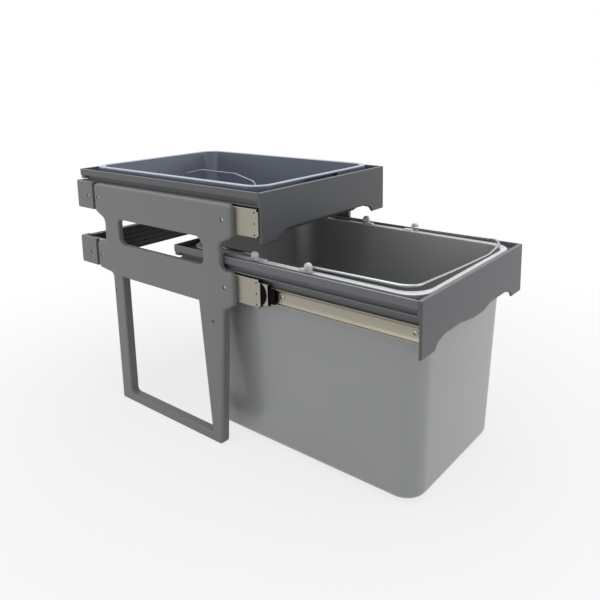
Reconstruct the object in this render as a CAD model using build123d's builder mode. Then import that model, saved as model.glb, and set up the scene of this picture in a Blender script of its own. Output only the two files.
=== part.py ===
from build123d import *
import os

os.makedirs("parts", exist_ok=True)

# Pull out waste unit for a kitchen base cabinet: a fixed frame of two side brackets and two
# rear rails carries two drawers on ball bearing slides. The upper drawer holds a shallow
# tray, and the lower one a tall bin with two wire hoops that hold its liner.
#
# Millimetres. The feet stand at Z = 0, the front faces -Y, and the unit is symmetrical about
# X = 0. It is modelled with the upper drawer closed and the lower one pulled out.
# Names ending in _drop are measured down from a drawer's top edge, and names ending in _back
# are measured back from a drawer's front face.

# Whole unit
clear_width = 364.0  # over the side brackets: the clear width of a 400 mm cabinet
upper_top = 435.0  # top edge of the upper drawer above the feet
drawer_spacing = 109.0  # the lower drawer's top edge lies this far below the upper one's
pull_out = 269.0  # how far the lower drawer is pulled out
middle_out = 13.0  # how far that has brought out its middle slide members

# Ball bearing slides, three members a side
slide_length = 450.0
slide_height = 45.0
slide_thickness = 12.7
slide_back = 4.0  # front end of the fixed member
slide_drop = 47.5  # centre line of the slide
slide_plate = 1.2  # sheet of every member
slide_bend = 2.0  # outer radius where the sheet turns into a flange
ball_space = 3.8  # between the races of two members
ball_diameter = 3.6
member_gap = 1.2  # between the back plates of the outer and middle members
inner_depth = 6.2  # flanges of the inner member, over its back plate
middle_short = 10.0  # the middle and inner members are this much shorter
inner_setback = 2.2  # front end of the inner member behind those of a closed slide
outer_open_gap = 1.3  # between a drawer's web and the flanges of the outer member
middle_open_gap = 1.7
lip_reach = 1.5  # lips that hold the balls in the outer member
fixing_hole_diameter = 3.0
fixing_hole_pitch = 17.5
fixing_hole_inset = 8.0
corner_notch = 3.5
bumper_radius = 20.6
bumper_nose = 2.5  # plate left in front of the bumper
bumper_length = 26.0
bumper_thickness = 0.8

# Ball cages
cage_sheet = 0.8
cage_ball_clearance = 0.1
cage_nose = 12.0  # plain end of the inner cage, in front of the middle member
inner_cage_length = 148.0
outer_cage_length = 200.0
outer_cage_back = 130.0
cage_plate_gap = 0.3
balls_per_row = 5
ball_pitch = 28.0

# Fixed frame
bracket_plate = 10.0  # thickness beside the slides
leg_depth = 16.0  # thickness of the legs and the foot bar
leg_wall = 4.0
bracket_back = 54.0
band_drop = 21.5  # top edge of the brackets
ear_margin = 4.0  # the ears reach this far below a slide
front_shoulder = 13.0  # slope under each front ear
rear_shoulder = 5.0
notch_depth = 27.5
front_leg_inset = 22.5
front_foot_inset = 38.0
rear_leg_inset = 43.5
rear_foot_inset = 48.5
bracket_edge_radius = 5.0
opening_edge_radius = 3.0
ear_radius = 8.0
notch_radius = 12.0
slot_front_inset = 65.0
slot_rear_inset = 70.0
slot_top_margin = 34.5  # between the centre of the upper slide and the slot
slot_bottom_margin = 28.0  # between the slot and the centre of the lower slide
slot_front_radii = (18.0, 12.0)
slot_rear_radii = (9.0, 15.0)
window_margin = 34.0  # between the centre of the lower slide and the window
window_front_inset = 80.0
window_front_foot_inset = 59.5
window_rear_inset = 73.0
window_rear_foot_inset = 77.0
foot_bar_height = 17.0
frame_behind_slide = 22.0
cap_length = 54.5
cap_gap = 7.5
cap_plate = 8.0
cap_height = 52.1
cap_rise = 26.9  # top of a cap over the centre of its slide
cap_radius = 8.0
cap_setback = 2.0  # outer face of a cap inside that of its bracket
rail_depth = 13.0
rail_height = 49.0
rail_end_depth = 20.0  # the rails end this far inside the caps' outer faces
rail_rib_pitch = 9.8
rail_rib_depth = 1.5
tongue_length = 8.0
tongue_size = (6.0, 30.0)
tongue_clearance = 0.15

# Holes that fasten the brackets to the cabinet's sides
mount_hole_diameter = 4.5
mount_boss_diameter = 12.0
mount_hole_drop = 219.0
front_mount_inset = 47.0
rear_mount_inset = 50.0

# Screws
screw_diameter = 4.0
screw_head_diameter = 7.0
screw_head_height = 2.2
screw_seat_clearance = 0.3
thread_clearance = 0.05
screw_slack = 0.1  # a screw stops this far short of the inner face it grips
bracket_screw_front_inset = 18.0
bracket_screw_rear_inset = 12.0
cap_screw_inset = 40.0
rail_screw_front_back = 13.5
rail_screw_middle_back = 238.0
rail_screw_rear_inset = 16.2  # in from the rear end of the inner slide member

# Drawer frames
drawer_clearance = 2.0  # between a drawer's side face and the bracket's inner face
panel_plate_thickness = 3.5
panel_depth = 6.0  # over the returned edges, where the side rails butt on it
panel_return = 2.5
panel_drop = 65.2  # lower edge between the ears
ear_height = 80.0
ear_width = 38.0
ear_slope = (8.5, 9.5)
ear_run_out = 28.0
ear_tip_radius = 1.5
panel_corner_radius = 3.0
panel_edge_radius = 0.8
belly_drop = 71.4
belly_points = (-58.0, -12.0, 22.0, 46.0)
band_height = 12.0
lip_wall = 1.7
rail_edge_radius = 0.5
groove_height = 8.5
groove_depth = 6.0
fin_height = 2.0
web_wall = 2.0
web_drop = 62.0
ledge_drop = 9.0
ledge_wall = 2.0
ledge_reach = 8.3
drawer_rear_gap = 3.0  # between the rail bodies and the fixed rear rail
lip_rear_gap = 4.0  # the rails' upper lips run on to this far inside the unit's rear
rear_rail_drop = 18.0
rear_rail_depth = 12.0
rear_wall = 2.0
rear_ledge_depth = 12.4

# Tray
tray_back = 17.0
tray_rear_gap = 5.0
tray_rise = 5.0  # rim above the drawer's top edge
tray_rim_gap = 1.3
tray_rim_width = 6.0
tray_wall = 2.5
tray_taper = 10.0
tray_front_taper = 5.0
tray_corner = 35.0
tray_base_corner = 25.0
tray_base_edge = 8.0
tray_skirt = 2.0
tray_edge_radius = 1.2
tray_grip_width = 92.0  # opening in the rim's front skirt, for lifting the tray
tray_grip_top = 3.0  # below the rim's top
room_over_bin = 29.0  # the tray's floor stands this far above the lower drawer's top edge
handle_wire = 2.4
handle_back = 170.0
handle_length = 198.0
handle_height = 66.5
handle_flat = 92.0
handle_shoulder = 12.0
handle_top_bend = 36.0
handle_boss = (8.0, 6.0)

# Bin
bin_floor_height = 5.0  # above the feet
bin_back = 9.0
bin_rear_gap = 5.0
bin_rim_gap = 2.3
bin_rim_drop = 1.0
bin_rim_width = 8.0
bin_wall = 2.5
bin_taper = 16.0
bin_front_taper = 13.0
bin_rear_taper = 16.0
bin_front_step = 5.0
bin_corner = 40.0
bin_base_corner = 35.0
bin_base_edge = 12.0
bin_skirt = 2.0
bin_edge_radius = 1.2
wall_clearance = 1.0  # between a container's wall and the ledge that carries its rim

# Liner hoops and their clips
hoop_wire = 4.0
hoop_rise = 5.0  # centre of the hinged ends above the drawer's top edge
hoop_corner = 25.0
hoop_front_back = 24.0
hoop_rear_back = 443.0
hoop_side_rise = 2.0  # front corners of the front hoop over its hinged ends
hoop_sag_radius = 60.0
hoop_front_levels = ((-40.0, 1.0), (30.0, -2.0), (90.0, -4.0))
clip_backs = {"front": 192.5, "rear": 297.7}
clip_width = 13.0
clip_rise = 1.5  # centre of a clip's round top over the wire
clip_thickness = 7.0
clip_lobe = (20.0, 9.0, 2.5)  # length, width and thickness of the foot under a clip
pin_clearance = 0.1
pin_bend = 3.4
pin_overhang = 1.2

# Places worked out from the sizes
bracket_outer = clear_width / 2
slide_outer = bracket_outer - bracket_plate
web_outer = slide_outer - slide_thickness
web_inner = web_outer - web_wall
ledge_edge = web_inner - ledge_reach
rail_face = slide_outer - drawer_clearance
unit_depth = slide_back + slide_length + frame_behind_slide
closed_front = (pull_out - unit_depth) / 2
drawer_length = unit_depth - lip_rear_gap
rail_body = unit_depth - rail_depth - drawer_rear_gap
middle_length = slide_length - middle_short
middle_height = slide_height - 2 * (slide_plate + ball_space)
inner_height = middle_height - 2 * (slide_plate + ball_space)
inner_back = slide_back + inner_setback
bracket_rear = unit_depth - cap_length - cap_gap
cap_outer = bracket_outer - cap_setback
ear_foot = slide_drop + slide_height / 2 + ear_margin
lower_screw_drop = slide_drop + drawer_spacing
fronts = {"upper": closed_front, "lower": closed_front - pull_out}
tops = {"upper": upper_top, "lower": upper_top - drawer_spacing}
inner_travel = pull_out - middle_out
middle_pull = {"upper": 0.0, "lower": middle_out}
slide_screw_rear = inner_back + middle_length - rail_screw_rear_inset
rail_screws_back = (rail_screw_front_back, rail_screw_middle_back, slide_screw_rear)


def section(back):
    """Plane across the unit at this Y. Extruding from it runs to the front."""
    return Plane.XZ.offset(-back)


def side(across):
    """Plane along the unit at this X. Extruding from it runs outwards."""
    return Plane.YZ.offset(across)


def side_point(back, drop):
    """Point of the side view of the fixed frame."""
    return (closed_front + back, upper_top - drop)


def save(piece, name):
    """Label one finished piece and write it."""
    piece.label = name
    export_step(piece, f"parts/{name}.step")


def save_pair(right, name):
    """Write a right hand piece and its mirror image."""
    with BuildPart() as left:
        mirror(right.part, about=Plane.YZ)
    save(right.part, f"right_{name}")
    save(left.part, f"left_{name}")


# ---------------------------------------------------------------- side brackets
lower_band = drawer_spacing + band_drop
front_notch = bracket_back + notch_depth
rear_notch = bracket_rear - notch_depth
lower_foot = drawer_spacing + ear_foot
bracket_corners = [
    (side_point(bracket_back, band_drop), ear_radius),
    (side_point(bracket_back, ear_foot), ear_radius),
    (side_point(front_notch, ear_foot + front_shoulder), notch_radius),
    (side_point(front_notch, lower_band), notch_radius),
    (side_point(bracket_back, lower_band), ear_radius),
    (side_point(bracket_back, lower_foot), ear_radius),
    (side_point(bracket_back + front_leg_inset, lower_foot + front_shoulder), notch_radius),
    (side_point(bracket_back + front_foot_inset, upper_top), ear_radius),
    (side_point(bracket_rear - rear_foot_inset, upper_top), 0),
    (side_point(bracket_rear - rear_leg_inset, lower_foot + rear_shoulder), ear_radius),
    (side_point(bracket_rear, lower_foot), ear_radius),
    (side_point(bracket_rear, lower_band), ear_radius),
    (side_point(rear_notch, lower_band), notch_radius),
    (side_point(rear_notch, ear_foot + front_shoulder), notch_radius),
    (side_point(bracket_rear, ear_foot), ear_radius),
    (side_point(bracket_rear, band_drop), ear_radius),
]
slot_top = slide_drop + slot_top_margin
slot_bottom = lower_screw_drop - slot_bottom_margin
slot_corners = [
    (side_point(bracket_back + slot_front_inset, slot_top), slot_front_radii[0]),
    (side_point(bracket_back + slot_front_inset, slot_bottom), slot_front_radii[1]),
    (side_point(bracket_rear - slot_rear_inset, slot_bottom), slot_rear_radii[1]),
    (side_point(bracket_rear - slot_rear_inset, slot_top), slot_rear_radii[0]),
]
window_top = lower_screw_drop + window_margin
window_bottom = upper_top - foot_bar_height
window_corners = [
    (side_point(bracket_back + window_front_inset, window_top), 0),
    (side_point(bracket_back + window_front_foot_inset, window_bottom), 0),
    (side_point(bracket_rear - window_rear_foot_inset, window_bottom), ear_radius),
    (side_point(bracket_rear - window_rear_inset, window_top), 0),
]
pocket_top = window_top + leg_wall
pocket_bottom = window_bottom - leg_wall


def rounded_outline(corners):
    """Closed outline from corner points, each with its radius."""
    FilletPolyline(*[point for point, _ in corners], radius=[r for _, r in corners], close=True)


def leg_pocket(inset, foot_inset, window_inset, window_foot_inset, edge, inward):
    """Corners of the hollow in the back of a leg, one wall inside its edges."""
    return [
        side_point(edge + inward * (inset + leg_wall), pocket_top),
        side_point(edge + inward * (foot_inset + leg_wall), pocket_bottom),
        side_point(edge + inward * (window_foot_inset - leg_wall), pocket_bottom),
        side_point(edge + inward * (window_inset - leg_wall), pocket_top),
    ]


mount_points = [
    side_point(bracket_back + front_mount_inset, mount_hole_drop),
    side_point(bracket_rear - rear_mount_inset, mount_hole_drop),
]
bracket_screw_points = [
    side_point(back, drop)
    for back in (bracket_back + bracket_screw_front_inset, bracket_rear - bracket_screw_rear_inset)
    for drop in (slide_drop, lower_screw_drop)
]

with BuildPart() as bracket:
    with BuildSketch(side(bracket_outer - leg_depth)):
        with BuildLine():
            rounded_outline(bracket_corners)
        make_face()
    extrude(amount=leg_depth)
    with BuildSketch(side(slide_outer - leg_depth)):
        with Locations(side_point(unit_depth / 2, 0)):
            Rectangle(unit_depth, lower_foot, align=(Align.CENTER, Align.MAX))
    extrude(amount=leg_depth, mode=Mode.SUBTRACT)
    fillet(bracket.faces().sort_by(Axis.X)[-1].edges(), radius=bracket_edge_radius)
    with BuildSketch(side(bracket_outer - leg_depth)):
        with BuildLine():
            rounded_outline(slot_corners)
        make_face()
        with BuildLine():
            rounded_outline(window_corners)
        make_face()
    extrude(amount=leg_depth, mode=Mode.SUBTRACT)
    opening_edges = bracket.faces().sort_by(Axis.X)[-1].inner_wires().edges()
    fillet(opening_edges, radius=opening_edge_radius)
    with BuildSketch(side(bracket_outer - leg_depth)):
        Polygon(*leg_pocket(front_leg_inset, front_foot_inset, window_front_inset,
                            window_front_foot_inset, bracket_back, 1), align=None)
        Polygon(*leg_pocket(rear_leg_inset, rear_foot_inset, window_rear_inset,
                            window_rear_foot_inset, bracket_rear, -1), align=None)
    extrude(amount=leg_depth - leg_wall, mode=Mode.SUBTRACT)
    with BuildSketch(side(bracket_outer - leg_depth)):
        with Locations(mount_points):
            Circle(mount_boss_diameter / 2)
    extrude(amount=leg_depth - leg_wall)
    with BuildSketch(side(bracket_outer - leg_depth)):
        with Locations(mount_points):
            Circle(mount_hole_diameter / 2)
    extrude(amount=leg_depth, mode=Mode.SUBTRACT)
    with BuildSketch(side(slide_outer)):
        with Locations(bracket_screw_points):
            Circle(screw_diameter / 2 + thread_clearance)
    extrude(amount=bracket_plate, mode=Mode.SUBTRACT)
    with BuildSketch(side(bracket_outer - screw_head_height)):
        with Locations(bracket_screw_points):
            Circle(screw_head_diameter / 2 + screw_seat_clearance)
    extrude(amount=screw_head_height, mode=Mode.SUBTRACT)
save_pair(bracket, "side_bracket")


# ---------------------------------------------------------------- screws of the frame
def frame_screw(x_head, y, z, grip):
    """Screw along X: its head inside x_head, its shank running inwards over the grip."""
    with Locations(Plane((x_head, y, z), z_dir=(-1, 0, 0))):
        Cylinder(screw_head_diameter / 2, screw_head_height, align=(Align.CENTER, Align.CENTER, Align.MIN))
        Cylinder(screw_diameter / 2, grip, align=(Align.CENTER, Align.CENTER, Align.MIN))


with BuildPart() as bracket_screws:
    for point in bracket_screw_points:
        grip = bracket_plate + slide_plate - screw_slack
        frame_screw(bracket_outer, *point, grip)
    mirror(about=Plane.YZ)
save(bracket_screws.part, "bracket_screws")

with BuildPart() as cap_screws:
    for drop in (slide_drop, lower_screw_drop):
        y, z = side_point(unit_depth - cap_screw_inset, drop)
        frame_screw(cap_outer, y, z, cap_plate + slide_plate - screw_slack)
    mirror(about=Plane.YZ)
save(cap_screws.part, "rear_cap_screws")


# ---------------------------------------------------------------- rear of the fixed frame
for level, top in tops.items():
    centre_z = top - slide_drop
    cap_top = centre_z + cap_rise
    rear_y = closed_front + unit_depth
    rail_end = cap_outer - rail_end_depth

    with BuildPart() as cap:
        with BuildSketch(Plane.XY.offset(cap_top)):
            with Locations((cap_outer, rear_y)):
                Rectangle(cap_plate, cap_length, align=Align.MAX)
                Rectangle(rail_end_depth, rail_depth, align=Align.MAX)
        extrude(amount=-cap_height)
        corner = cap.edges().filter_by(Axis.Z).sort_by(Axis.X)[-2:].sort_by(Axis.Y)[-1]
        fillet(corner, radius=cap_radius)
        outer_rim = cap.faces().sort_by(Axis.X)[-1].edges().filter_by(Axis.Y)
        fillet(outer_rim, radius=screw_head_height)
        with BuildSketch(side(cap_outer - rail_end_depth)):
            with Locations((rear_y - rail_depth / 2, centre_z)):
                Rectangle(tongue_size[0] + 2 * tongue_clearance, tongue_size[1] + 2 * tongue_clearance)
        extrude(amount=tongue_length + tongue_clearance, mode=Mode.SUBTRACT)
        with BuildSketch(side(slide_outer)):
            with Locations((rear_y - cap_screw_inset, centre_z)):
                Circle(screw_diameter / 2 + thread_clearance)
        extrude(amount=cap_plate, mode=Mode.SUBTRACT)
        with BuildSketch(side(cap_outer - screw_head_height)):
            with Locations((rear_y - cap_screw_inset, centre_z)):
                Circle(screw_head_diameter / 2 + screw_seat_clearance)
        extrude(amount=screw_head_height, mode=Mode.SUBTRACT)
    save_pair(cap, f"{level}_rear_cap")

    with BuildPart() as rear_rail:
        with Locations((0, rear_y - rail_depth / 2, centre_z)):
            Box(2 * rail_end, rail_depth, rail_height)
            Box(2 * (rail_end + tongue_length), *tongue_size)
        rib_count = int(rail_height / rail_rib_pitch)
        with BuildSketch(section(rear_y - rail_depth + rail_rib_depth)):
            with Locations((0, centre_z)):
                with GridLocations(0, rail_rib_pitch, 1, rib_count):
                    Rectangle(2 * rail_end, rail_rib_pitch / 2)
        extrude(amount=rail_rib_depth, mode=Mode.SUBTRACT)
    save(rear_rail.part, f"{level}_cross_rail")


# ---------------------------------------------------------------- slides
def channel(x_open, x_back, centre_z, height):
    """Section of a slide member: an open channel, bent round at its back plate at x_back."""
    depth = abs(x_back - x_open)
    middle_x = (x_back + x_open) / 2
    plate_x = x_back - slide_plate / 2 if x_back > x_open else x_back + slide_plate / 2
    flange_z = (height - slide_plate) / 2
    with Locations((plate_x, centre_z)):
        Rectangle(slide_plate, height)
    with Locations((middle_x, centre_z - flange_z), (middle_x, centre_z + flange_z)):
        Rectangle(depth, slide_plate)


middle_back = slide_outer - slide_plate - member_gap
outer_open = web_outer + outer_open_gap
middle_open = web_outer + middle_open_gap
outer_race = middle_height / 2 + ball_space / 2
inner_race = inner_height / 2 + ball_space / 2
outer_ball_x = (outer_open + slide_plate + middle_back) / 2
inner_ball_x = (middle_open + web_outer + inner_depth) / 2

for level, top in tops.items():
    centre_z = top - slide_drop
    slide_front = closed_front + slide_back
    screw_y = [point[0] for point in bracket_screw_points[::2]]
    screw_y.append(closed_front + unit_depth - cap_screw_inset)

    with BuildPart() as outer_slide:
        with BuildSketch(section(slide_front + slide_length)) as outer_section:
            channel(outer_open, slide_outer, centre_z, slide_height)
            lip_height = slide_plate + lip_reach
            with Locations((outer_open + slide_plate / 2, centre_z)):
                with GridLocations(0, slide_height - lip_height, 1, 2):
                    Rectangle(slide_plate, lip_height)
            fillet(outer_section.vertices().group_by(Axis.X)[-1], radius=slide_bend)
        extrude(amount=slide_length)
        with BuildSketch(side(slide_outer - slide_plate)):
            with Locations((slide_front + fixing_hole_inset, centre_z)):
                with GridLocations(0, fixing_hole_pitch, 1, 3):
                    Circle(fixing_hole_diameter / 2)
            with Locations(*[(y, centre_z) for y in screw_y]):
                Circle(screw_diameter / 2 + thread_clearance)
        extrude(amount=slide_plate, mode=Mode.SUBTRACT)
        with BuildSketch(side(outer_open)):
            with Locations((slide_front, centre_z)):
                with GridLocations(0, slide_height - corner_notch, 1, 2):
                    Rectangle(2 * corner_notch, corner_notch)
        extrude(amount=slide_outer - outer_open, mode=Mode.SUBTRACT)
    save_pair(outer_slide, f"{level}_outer_slide")

    middle_front = slide_front - middle_pull[level]
    with BuildPart() as middle_slide:
        with BuildSketch(section(middle_front + middle_length)) as middle_section:
            channel(middle_open, middle_back, centre_z, middle_height)
            fillet(middle_section.vertices().group_by(Axis.X)[-1], radius=slide_bend)
        extrude(amount=middle_length)
    save_pair(middle_slide, f"{level}_middle_slide")

    with BuildPart() as bumpers:
        with BuildSketch(side(middle_back)):
            with Locations((middle_front + bumper_nose + bumper_radius, centre_z)):
                Circle(bumper_radius)
            with Locations((middle_front + bumper_nose, centre_z)):
                Rectangle(bumper_length, middle_height - slide_plate, align=(Align.MIN, Align.CENTER),
                          mode=Mode.INTERSECT)
        extrude(amount=bumper_thickness)
        mirror(about=Plane.YZ)
    save(bumpers.part, f"{level}_slide_bumpers")

    inner_front = fronts[level] + inner_back
    with BuildPart() as inner_slide:
        with BuildSketch(section(inner_front + middle_length)) as inner_section:
            channel(web_outer + inner_depth, web_outer, centre_z, inner_height)
            fillet(inner_section.vertices().group_by(Axis.X)[0], radius=slide_bend)
        extrude(amount=middle_length)
        with BuildSketch(side(web_outer)):
            with Locations(*[(fronts[level] + back, centre_z) for back in rail_screws_back]):
                Circle(screw_diameter / 2 + thread_clearance)
        extrude(amount=slide_plate, mode=Mode.SUBTRACT)
    save_pair(inner_slide, f"{level}_inner_slide")

    # The cages run at half the speed of the member they carry.
    outer_cage_front = closed_front + outer_cage_back - middle_pull[level] / 2
    inner_pull = closed_front - fronts[level] - middle_pull[level]
    inner_cage_front = middle_front + inner_travel / 2 - inner_pull / 2
    cages = {
        "outer": (outer_cage_front, outer_cage_length, outer_race, outer_ball_x,
                  slide_outer - slide_plate - cage_plate_gap, 0.0),
        "inner": (inner_cage_front, inner_cage_length, inner_race, inner_ball_x,
                  middle_back - slide_plate - cage_ball_clearance - member_gap, cage_nose),
    }
    for stage, (front, length, race, ball_x, plate_x, nose) in cages.items():
        middle_y = front + length / 2
        sheet = cage_sheet if stage == "inner" else member_gap - 2 * cage_plate_gap
        strip_start = ball_x - ball_diameter / 2 - cage_sheet
        ball_spots = [(ball_x, middle_y + (i - (balls_per_row - 1) / 2) * ball_pitch)
                      for i in range(balls_per_row)]
        with BuildPart() as cage:
            with BuildSketch(section(front + length)):
                with Locations((plate_x - sheet / 2, centre_z)):
                    Rectangle(sheet, 2 * race + cage_sheet)
                with Locations((strip_start, centre_z - race), (strip_start, centre_z + race)):
                    Rectangle(plate_x - strip_start, cage_sheet, align=(Align.MIN, Align.CENTER))
            extrude(amount=length)
            with BuildSketch(Plane.XY.offset(centre_z - race - cage_sheet)):
                with Locations(*ball_spots):
                    Circle(ball_diameter / 2 + cage_ball_clearance)
            extrude(amount=2 * (race + cage_sheet), mode=Mode.SUBTRACT)
            if nose:
                with BuildSketch(section(front)):
                    with Locations((plate_x - sheet / 2, centre_z)):
                        Rectangle(sheet, inner_height)
                extrude(amount=nose)
            mirror(about=Plane.YZ)
        save(cage.part, f"{level}_{stage}_ball_cages")
        with BuildPart() as balls:
            for z in (centre_z - race, centre_z + race):
                with Locations(*[(x, y, z) for x, y in ball_spots]):
                    Sphere(ball_diameter / 2)
            mirror(about=Plane.YZ)
        save(balls.part, f"{level}_{stage}_balls")


# ---------------------------------------------------------------- drawer frames
def rail_section(top):
    """Right hand side rail in section: lip, face, groove, fin, web and the ledge for the rim."""
    groove_x = rail_face - groove_depth
    points = [
        (rail_face, 0),
        (rail_face, -band_height),
        (groove_x, -band_height),
        (groove_x, -band_height - groove_height),
        (rail_face, -band_height - groove_height),
        (rail_face, -band_height - groove_height - fin_height),
        (web_outer, -band_height - groove_height - fin_height),
        (web_outer, -web_drop),
        (web_inner, -web_drop),
        (web_inner, -ledge_drop - ledge_wall),
        (ledge_edge, -ledge_drop - ledge_wall),
        (ledge_edge, -ledge_drop),
        (rail_face - lip_wall, -ledge_drop),
        (rail_face - lip_wall, 0),
    ]
    Polygon(*[(x, top + z) for x, z in points], align=None)


def panel_outline(top, belly):
    """Front panel from the front: ears at both ends, and a gentle belly on the lower drawer."""
    edge = rail_face
    inner = edge - ear_width
    half = [
        ((inner - ear_run_out, -panel_drop), ear_run_out),
        ((inner - ear_slope[0], -ear_height + ear_slope[1]), notch_radius),
        ((inner, -ear_height), ear_tip_radius),
        ((edge, -ear_height), panel_corner_radius),
        ((edge, 0), 0),
    ]
    left = [((-x, z), r) for (x, z), r in reversed(half)]
    middle = []
    if belly:
        levels = (panel_drop, belly_drop, belly_drop, panel_drop)
        middle = [((x, -drop), ear_run_out) for x, drop in zip(belly_points, levels)]
    corners = left + middle + half
    points = [(x, top + z) for (x, z), _ in corners]
    FilletPolyline(*points, radius=[r for _, r in corners], close=True)


for level, top in tops.items():
    front = fronts[level]
    centre_z = top - slide_drop
    fin_drop = band_height + groove_height + fin_height

    with BuildPart() as panel:
        with BuildSketch(section(front + panel_plate_thickness)):
            with BuildLine():
                panel_outline(top, belly=level == "lower")
            make_face()
        extrude(amount=panel_plate_thickness)
        upright = panel.edges().filter_by(Axis.Z).group_by(Axis.Y)[0]
        fillet(upright, radius=panel_corner_radius)
        front_edges = panel.faces().sort_by(Axis.Y)[0].edges()
        fillet(front_edges - front_edges.filter_by(Axis.Z), radius=panel_edge_radius)
        with BuildSketch(section(front + panel_depth)):
            with Locations((0, top)):
                Rectangle(2 * rail_face, fin_drop, align=(Align.CENTER, Align.MAX))
                Rectangle(2 * web_outer, web_drop, align=(Align.CENTER, Align.MAX))
            with Locations((0, top - panel_return)):
                Rectangle(2 * ledge_edge, web_drop, align=(Align.CENTER, Align.MAX), mode=Mode.SUBTRACT)
        extrude(amount=panel_depth - panel_plate_thickness)
    save(panel.part, f"{level}_front_panel")

    with BuildPart() as side_rail:
        with BuildSketch(section(front + rail_body)) as rail_profile:
            rail_section(top)
            fillet(rail_profile.vertices().group_by(Axis.X)[-1], radius=rail_edge_radius)
        extrude(amount=rail_body - panel_depth)
        with BuildSketch(section(front + drawer_length)) as lip_profile:
            with Locations((rail_face, top)):
                Rectangle(lip_wall, band_height, align=Align.MAX)
            fillet(lip_profile.vertices().group_by(Axis.X)[-1], radius=rail_edge_radius)
        extrude(amount=drawer_length - rail_body)
        with BuildSketch(side(web_inner)):
            with Locations(*[(front + back, centre_z) for back in rail_screws_back]):
                Circle(screw_diameter / 2 + thread_clearance)
        extrude(amount=web_wall, mode=Mode.SUBTRACT)
    save_pair(side_rail, f"{level}_side_rail")

    with BuildPart() as drawer_back:
        with BuildSketch(side(lip_wall - rail_face)):
            with Locations((front + drawer_length, top - rear_rail_drop)):
                Rectangle(rear_rail_depth, rear_rail_drop - ledge_drop, align=(Align.MAX, Align.MIN))
                Rectangle(rear_wall, rear_rail_drop, align=(Align.MAX, Align.MIN))
        extrude(amount=2 * (rail_face - lip_wall))
        with BuildSketch(side(-ledge_edge)):
            with Locations((front + rail_body, top - ledge_drop)):
                Rectangle(rear_ledge_depth, ledge_wall, align=Align.MAX)
        extrude(amount=2 * ledge_edge)
    save(drawer_back.part, f"{level}_rear_rail")

    with BuildPart() as rail_screws:
        for back in rail_screws_back:
            frame_screw(web_outer + slide_plate + screw_head_height, front + back, centre_z,
                        screw_head_height + slide_plate + web_wall - screw_slack)
        mirror(about=Plane.YZ)
    save(rail_screws.part, f"{level}_rail_screws")


# ---------------------------------------------------------------- tray and bin
def rounded_box(z, half_width, front, rear, corner):
    """Rounded rectangle at one height."""
    with BuildSketch(Plane.XY.offset(z)) as outline:
        with Locations((0, (front + rear) / 2)):
            RectangleRounded(2 * half_width, rear - front, corner)
    return outline.sketch


def shrink(box, wall, raised=0.0):
    """The same box, one wall further in."""
    z, half_width, front, rear, corner = box
    return (z + raised, half_width - wall, front + wall, rear - wall, corner - wall)


def tub(mouth, floor, edge):
    """Solid tapered from a rounded box to its floor, with its lower edge rounded."""
    with BuildPart() as solid:
        loft([rounded_box(*floor), rounded_box(*mouth)], ruled=True)
        fillet(solid.faces().sort_by(Axis.Z)[0].edges(), radius=edge)
    return solid.part


def tub_and_hollow(mouth, floor, wall, edge):
    """Outer and inner forms of a tapered tub with this wall."""
    return tub(mouth, floor, edge), tub(shrink(mouth, wall), shrink(floor, wall, wall), edge - wall)


def container(outer, hollow, rim, ledge_z, skirt):
    """Open tub whose rim runs out over a ledge and turns down on to it."""
    rim_height = rim[0] - ledge_z
    extrude(rounded_box(*rim), amount=-rim_height)
    extrude(rounded_box(*shrink(rim, skirt, -rim_height)), amount=rim_height - skirt, mode=Mode.SUBTRACT)
    add(outer)
    add(hollow, mode=Mode.SUBTRACT)


wall_half = ledge_edge - wall_clearance
wall_rear = rail_body - rear_ledge_depth - wall_clearance

upper_front = fronts["upper"]
tray_rim_top = upper_top + tray_rise
tray_floor = upper_top - drawer_spacing + room_over_bin
tray_rim = (tray_rim_top, web_inner - tray_rim_gap, upper_front + tray_back,
            upper_front + rail_body - tray_rear_gap, tray_corner)
tray_mouth = (tray_rim_top, wall_half, upper_front + tray_back + tray_rim_width,
              upper_front + wall_rear, tray_corner - tray_rim_width)
tray_base = (tray_floor, wall_half - tray_taper, tray_mouth[2] + tray_front_taper,
             tray_mouth[3] - tray_taper, tray_base_corner)
handle_middle = upper_front + handle_back + handle_length / 2
handle_ends = [handle_middle - handle_length / 2, handle_middle + handle_length / 2]
inside_floor = tray_floor + tray_wall
tray_forms = tub_and_hollow(tray_mouth, tray_base, tray_wall, tray_base_edge)
with BuildPart() as tray:
    container(*tray_forms, tray_rim, upper_top - ledge_drop, tray_skirt)
    fillet(tray.faces().sort_by(Axis.Z)[-1].edges(), radius=tray_edge_radius)
    with BuildSketch(section(tray_rim[2] + tray_skirt)):
        with Locations((0, tray_rim_top - tray_grip_top)):
            grip_height = tray_rim_top - upper_top + ledge_drop
            Rectangle(tray_grip_width, grip_height, align=(Align.CENTER, Align.MAX))
    extrude(amount=tray_skirt, mode=Mode.SUBTRACT)
    with BuildSketch(Plane.XY.offset(inside_floor)):
        with Locations(*[(0, y) for y in handle_ends]):
            Circle(handle_boss[0] / 2)
    extrude(amount=handle_boss[1])
    with BuildSketch(Plane.XY.offset(inside_floor)):
        with Locations(*[(0, y) for y in handle_ends]):
            Circle(handle_wire / 2 + pin_clearance)
    extrude(amount=handle_boss[1], mode=Mode.SUBTRACT)
save(tray.part, "tray")

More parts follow.
